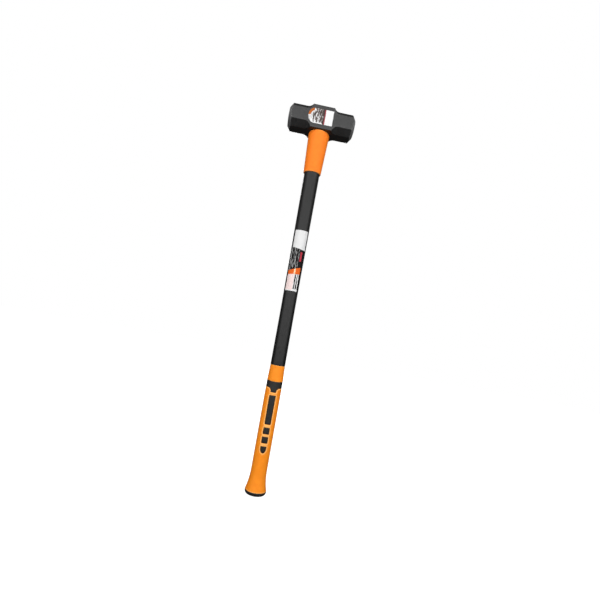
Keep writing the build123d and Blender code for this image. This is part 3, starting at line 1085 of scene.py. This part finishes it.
def moved_column(across, height):
    """Where a column goes at a height. Columns near a window's edge spread by as much as that
    window differs from the middle width."""
    target = TAB_HALF_WIDTH
    for stem in WINDOW_HALF_WIDTHS:
        bottom, top = WINDOW_HEIGHTS[stem]
        if bottom - WINDOW_REACH < height < top + WINDOW_REACH:
            target = half_width_at(stem, min(top, max(bottom, height)))
    if height < WINDOW_HEIGHTS["grip_bullet"][1] + WINDOW_REACH:
        target = BULLET_HALF_WIDTH
    past = abs(across) - WINDOW_MIDDLE_HALF
    share = 1 + past / WINDOW_MIDDLE_HALF if past < 0 else max(0.0, 1 - past / WINDOW_SIDE)
    return across + math.copysign((target - WINDOW_MIDDLE_HALF) * share, across)


def distances_to_edges(places):
    """How far each place in the front view is from where the orange rubber stops: round its
    windows and along the band."""
    lines = [pad_outline(stem, spacing=0.3) for stem in PAD_STEMS]
    across = np.arange(-GRIP_WIDTH / 2, GRIP_WIDTH / 2, 0.1)
    lines.append(np.array([(place, band_edge(place)) for place in across]))
    for side in (-1, 1):
        drop = np.linspace(TAB_BOTTOM, BAND_BOTTOM - TAB_SIDE_RADIUS, 12)
        lines.append(np.array([(side * TAB_HALF_WIDTH, height) for height in drop]))
    nearest = np.full(len(places), np.inf)
    for part in np.array_split(np.concatenate(lines), 12):  # in parts, to spare memory
        gaps = np.linalg.norm(places[:, None, :] - part[None, :, :], axis=2)
        nearest = np.minimum(nearest, gaps.min(axis=1))
    return nearest


def rubber_round(share):
    """Depth of the rubber's rounding, whose share runs from 0 at the rim to 1 at its end."""
    return RUBBER_EDGE * (1 - unit_depth(1 - min(1.0, share)))


def sleeve_point(across, side, height, distance):
    """A point of the sleeve's outside at a distance from where it stops, and its edge value."""
    pocket = in_window(across, height)
    above_cap = height - CAP_TOP
    inset = PAD_POCKET if pocket else RUBBER_DROP * rubber_round(distance / RUBBER_EDGE)
    inset += rubber_round(above_cap / RUBBER_EDGE)
    share = abs(across) / (GRIP_WIDTH / 2)
    sideways = min(1.0, max(0.0, (share - UPRIGHT_WALLS) / LEANING_WALLS))
    point = on_column(across, side, height, inset, sideways)
    if pocket:
        return point, POCKET_EDGE
    # edge value: painted shade right at the rubber's edges, then a painted highlight along its
    # rounded rims and at the butt
    unshaded = min(1.0, distance / EDGE_SHADE_WIDTH)
    pale = min(1.0, max(0.0, 1 - (distance - EDGE_SHADE_WIDTH) / PALE_RIM))
    butt = max(0.0, 1 - above_cap / PALE_BUTT)
    return point, unshaded * pale + (1 - unshaded) * POCKET_EDGE + butt


def make_sleeve(material):
    """The orange grip: an oval skin with rounded windows, closed through its bore."""
    around = around_grip(sleeve_columns())
    columns = len(around)
    places = []
    for height in sleeve_rows():
        places += [(moved_column(across, height), height) for across, _ in around]
    last_row = places[-columns:]
    for share in TAB_STEPS:
        for across, height in last_row:
            places.append((across, height + share * (band_edge(across) - height)))
    distances = distances_to_edges(np.array(places))
    points = []
    edge = []
    for index, (across, height) in enumerate(places):
        side = around[index % columns][1]
        point, wear_and_sheen = sleeve_point(across, side, height, distances[index])
        points.append(point)
        edge.append(wear_and_sheen)
    tops = [height for _, height in places[-columns:]]
    for share in np.linspace(0, 1, 5):
        for (across, side), top in zip(around, tops):
            points.append(in_bore(across, side, top + share * (CAP_TOP - top)))
            edge.append(0.0)
    faces = band_faces(len(points) // columns, columns, loop=True)
    make_piece("soft_grip", points, faces, edge, ["grip_sleeve"], material)


def strip_columns():
    """Places from the middle outwards that follow the side of the band's tab."""
    places = list(np.arange(0, TAB_HALF_WIDTH - 0.3, 0.8))
    places += [TAB_HALF_WIDTH, TAB_HALF_WIDTH + 0.03]
    turns = np.linspace(0.2, math.pi / 2, 14)
    places += list(TAB_HALF_WIDTH + TAB_SIDE_RADIUS * (1 - np.cos(turns)))
    return places + SIDE_PLACES


def make_strip(name, low_edge, high_edge, recess, rounding, rows, nodes, material):
    """An oval ring of the grip between two edge lines, with rounded edges, closed by its bore."""
    around = around_grip(strip_columns())
    lows = np.array([low_edge(across) for across, _ in around])
    highs = np.array([high_edge(across) for across, _ in around])
    curve = quarter_round(rounding, 5)
    rings = [(lows + drop, inset, 1 - drop / rounding) for inset, drop in reversed(curve)]
    for share in np.linspace(0, 1, rows + 2)[1:-1]:
        rings.append((lows + rounding + share * (highs - lows - 2 * rounding), 0.0, 0.0))
    rings += [(highs - drop, inset, 1 - drop / rounding) for inset, drop in curve]
    points = []
    edge = []
    for heights, inset, wear_and_sheen in rings:
        for (across, side), height in zip(around, heights):
            points.append(on_column(across, side, height, inset + recess))
            edge.append(wear_and_sheen)
    for heights in (highs, lows):
        for (across, side), height in zip(around, heights):
            points.append(in_bore(across, side, height))
            edge.append(0.0)
    faces = band_faces(len(points) // len(around), len(around), loop=True)
    make_piece(name, points, faces, edge, nodes, material)


def make_pad(stem, side, material):
    """A rubber pad in its window: rounded over its edges and a little crowned."""
    outline = pad_outline(stem, PAD_GAP, 0.7)
    bottom, top = WINDOW_HEIGHTS[stem]
    middle_low = bottom + BULLET_HALF_WIDTH
    middle_high = max(middle_low, top - BULLET_HALF_WIDTH)
    ridge = np.clip(outline[:, 1], middle_low, middle_high)
    spine = np.column_stack([np.zeros(len(outline)), np.round(ridge / SPINE_STEP) * SPINE_STEP])
    floor = PAD_POCKET - PAD_CLEAR
    half = BULLET_HALF_WIDTH - PAD_GAP
    start = PAD_ROUNDING / half
    # how far in from the outline towards the spine, and how deep
    rings = [(1.0, floor), (0.5, floor), (0.0, floor), (0.0, PAD_RECESS + PAD_ROUNDING)]
    rings += [(inset / half, PAD_RECESS + drop) for inset, drop in quarter_round(PAD_ROUNDING, 5)]
    for share in np.linspace(start, 1, 8)[1:]:
        rings.append((share, PAD_RECESS - PAD_CROWN * math.sin(share * math.pi / 2)))
    points = []
    edge = []
    for share, inset in rings:
        for across, height in outline * (1 - share) + spine * share:
            points.append(on_grip(across, side, height, inset))
            edge.append(1.0 if 0 < share <= start else 0.0)
    faces = band_faces(len(rings), len(outline))
    node = f"{stem}_front" if side < 0 else f"{stem}_back"
    make_piece(f"pad_{node}", points, faces, edge, [node], material)


def make_cap(material):
    """The butt cap: a domed oval foot with a plug that goes up into the grip's bore."""
    butt = (BUTT_WIDTH / 2, BUTT_DEPTH / 2)
    plug = (NECK_WIDTH / 2, NECK_DEPTH / 2)
    top = CAP_HIGH[2]
    stations = []

    def add(half_sizes, inset, height, wear_and_sheen=0.0, share=1.0):
        half_width, half_depth = half_sizes
        stations.append(((half_width - inset) * share, (half_depth - inset) * share, height, wear_and_sheen))

    for share in (0.0, 0.35, 0.7):
        add(butt, CAP_ROUNDING, 0.0, share=share)
    for inset, drop in reversed(quarter_round(CAP_ROUNDING, 14)):
        add(butt, inset, drop)
    add(butt, 0.0, CAP_TOP - CAP_RIM, 0.3)
    add(butt, CAP_RIM / 2, CAP_TOP - CAP_RIM / 6, 1.0)
    add(butt, CAP_RIM, CAP_TOP, 0.3)
    add(plug, 0.0, CAP_TOP)
    add(plug, 0.0, top - PLUG_LEAD)
    add(plug, PLUG_LEAD, top)
    add(plug, 0.0, top, share=0.0)
    oval_piece("foot_cap", stations, ["butt_cap"], material)


# Stickers ===================================================================================
def sheet_piece(name, rows, columns, outer, thickness, node, material):
    """A thin gridded sheet. outer(u, v) gives its outside point and the way to its back."""
    points = []
    for layer in (0.0, thickness):
        for row in range(rows + 1):
            for column in range(columns + 1):
                point, inward = outer(column / columns, row / rows)
                points.append(np.array(point) + np.array(inward) * layer)
    width = columns + 1
    count = width * (rows + 1)
    faces = []
    for row in range(rows):
        for column in range(columns):
            here = row * width + column
            quad = (here, here + 1, here + 1 + width, here + width)
            faces.append(quad)
            faces.append(tuple(index + count for index in reversed(quad)))
    rim = list(range(width))
    rim += [row * width + columns for row in range(1, rows + 1)]
    rim += [rows * width + column for column in range(columns - 1, -1, -1)]
    rim += [row * width for row in range(rows - 1, 0, -1)]
    for here, there in zip(rim, rim[1:] + rim[:1]):
        faces.append((here, there, there + count, here + count))
    make_piece(name, points, faces, [0.0] * len(points), [node], material)


def make_head_sticker(material):
    left, front, low = HEAD_LABEL_LOW
    right, back, high = HEAD_LABEL_HIGH
    start = left + HEAD_LABEL_TIP

    def outer(u, v):
        across = start + (right - start) * u ** HEAD_LABEL_CROWDING
        from_nose = min(1.0, (across - left) / HEAD_LABEL_NOSE)
        half = (high - low) / 2 * unit_depth(1 - from_nose)
        return (across, front, HEAD_AXIS + (2 * v - 1) * half), (0.0, 1.0, 0.0)

    sheet_piece("head_sticker", 16, 48, outer, back - front, "head_label", material)


def make_shaft_sticker(material):
    low, high = SHAFT_LABEL_LOW[2], SHAFT_LABEL_HIGH[2]
    half = SHAFT_LABEL_HIGH[0]

    def outer(u, v):
        height = low + (high - low) * v
        half_width, half_depth = shaft_half_sizes(height, SHAFT_LABEL_LIFT)
        across = (2 * u - 1) * half
        deep = half_depth * unit_depth(across / half_width)
        inward = Vector((-across / half_width ** 2, deep / half_depth ** 2, 0.0)).normalized()
        return (across, -deep, height), inward

    sheet_piece("shaft_sticker", 40, 24, outer, SHAFT_LABEL_THICKNESS, "shaft_label", material)


# Studio =====================================================================================
def make_camera():
    data = bpy.data.cameras.new("camera")
    data.lens = LENS
    data.shift_x = SHIFT_RIGHT
    data.shift_y = SHIFT_UP
    data.clip_start = 0.01
    data.clip_end = 50.0
    camera = add_object("camera", data)
    level = Vector((math.cos(VIEW_YAW), -math.sin(VIEW_YAW), 0.0))
    forward = Vector((math.sin(VIEW_YAW), math.cos(VIEW_YAW), 0.0))
    upright = Vector((0.0, 0.0, 1.0))
    right = level * math.cos(VIEW_ROLL) + upright * math.sin(VIEW_ROLL)
    up = -level * math.sin(VIEW_ROLL) + upright * math.cos(VIEW_ROLL)
    turn = Matrix((right, up, -forward)).transposed().to_4x4()
    place = -forward * VIEW_DISTANCE + upright * VIEW_HEIGHT
    camera.matrix_world = Matrix.Translation(place) @ turn
    bpy.context.scene.camera = camera


def softbox(name, place, target, size, watts):
    data = bpy.data.lights.new(name, "AREA")
    data.shape = "RECTANGLE"
    data.size, data.size_y = size
    data.energy = watts
    light = add_object(name, data)
    light.location = place
    light.rotation_euler = (Vector(target) - Vector(place)).to_track_quat("-Z", "Y").to_euler()
    light.visible_camera = False


def make_world():
    """White where the camera looks past the object, and for everything else a dim grey room that
    is darker below and overhead."""
    world = bpy.data.worlds.new("studio")
    world.use_nodes = True
    nodes = Nodes(world.node_tree)
    direction = nodes.output(nodes.add("TexCoord"), "Generated")
    up = nodes.axes(direction)[2]
    walls = nodes.span(up, *WALLS_RISE, ROOM_BELOW, ROOM_WALLS)
    ceiling = nodes.span(up, *CEILING_RISES, 0.0, ROOM_WALLS - ROOM_CEILING)
    seen = nodes.output(nodes.add("LightPath"), "Is Camera Ray")
    background = world.node_tree.nodes["Background"]
    nodes.feed(background.inputs["Color"], grey(1.0))
    nodes.feed(background.inputs["Strength"], nodes.mix(seen, walls - ceiling, 1.0))
    bpy.context.scene.world = world


def make_floor():
    """A plain white sweep under the tool that keeps only its faint contact shadow. It glows
    more further out, so that it meets the white background without a line."""
    half = FLOOR_HALF
    mesh = bpy.data.meshes.new("floor")
    corners = [(-half, -half, 0.0), (half, -half, 0.0), (half, half, 0.0), (-half, half, 0.0)]
    mesh.from_pydata(corners, [], [(0, 1, 2, 3)])
    floor = add_object("floor", mesh)
    paint = Paint("white_sweep")
    cloud = paint.noise(90.0, detail=3.0)
    paint.set("Base Color", paint.mix(cloud, grey(0.42), grey(0.46)))
    paint.set("Roughness", 0.9)
    paint.set("Specular IOR Level", 0.0)
    paint.set("Emission Color", grey(1.0))
    away = paint.distance(paint.x, paint.y)
    paint.set("Emission Strength", paint.span(away, *FLOOR_GLOW_RISES, *FLOOR_GLOW))
    mesh.materials.append(paint.material)
    floor.visible_diffuse = False
    floor.visible_glossy = False


def make_studio():
    scene = bpy.context.scene
    scene.view_settings.view_transform = "Standard"
    scene.view_settings.look = "None"
    make_camera()
    make_world()
    make_floor()
    level = Vector((0.0, 0.0, FRONT_LIGHT_HEIGHT))
    for degrees in FRONT_LIGHT_TURNS:
        turn = math.radians(degrees)
        away = Vector((math.sin(turn), -math.cos(turn), 0.0)) * FRONT_LIGHT_AWAY
        name = f"front_softbox_{degrees}"
        softbox(name, level + away, level, FRONT_LIGHT_SIZE, FRONT_LIGHT_WATTS)
    softbox("back_softbox", BACK_LIGHT_PLACE, BACK_LIGHT_TARGET, BACK_LIGHT_SIZE, BACK_LIGHT_WATTS)


# Build ======================================================================================
# each orange's last colour is the painted highlight along its rounded edges
grip_orange = orange_rubber(
    "grip_orange", colour(0.94, 0.28, 0.012), colour(0.9, 0.25, 0.01), colour(0.97, 0.56, 0.18)
)
guard_orange = orange_rubber(
    "guard_orange", colour(0.95, 0.218, 0.013), colour(0.9, 0.196, 0.01), colour(0.97, 0.45, 0.13)
)
pad_black = black_rubber("pad_rubber", colour(0.012, 0.012, 0.01), grey(0.024), 0.45, 0.6)
cap_black = black_rubber("cap_rubber", grey(0.009), grey(0.022), 0.4, 0.55)
seal_black = black_rubber("seal_rubber", grey(0.02), grey(0.05), 0.5, 0.65)

make_studio()
make_head(forged_head_material())
make_jacket(jacket_material())
make_guard(guard_orange)
make_core(fibreglass_material())
make_eye_resin(resin_material())
make_sleeve(grip_orange)
make_strip(
    "grip_collar", band_top, lambda across: GRIP_TOP, 0.0, RUBBER_EDGE, 14,
    ["grip_ring"], grip_orange,
)
make_strip(
    "black_band", band_edge, band_top, BAND_RECESS, BAND_EDGE, 10,
    ["grip_band"], pad_black,
)
for stem in PAD_STEMS:
    for side in (-1, 1):
        make_pad(stem, side, pad_black)
make_cap(cap_black)
make_head_sticker(head_sticker_material())
make_shaft_sticker(shaft_sticker_material())
seal = bpy.data.objects["eye_seal_ring"]
seal.data.materials.clear()
seal.data.materials.append(seal_black)
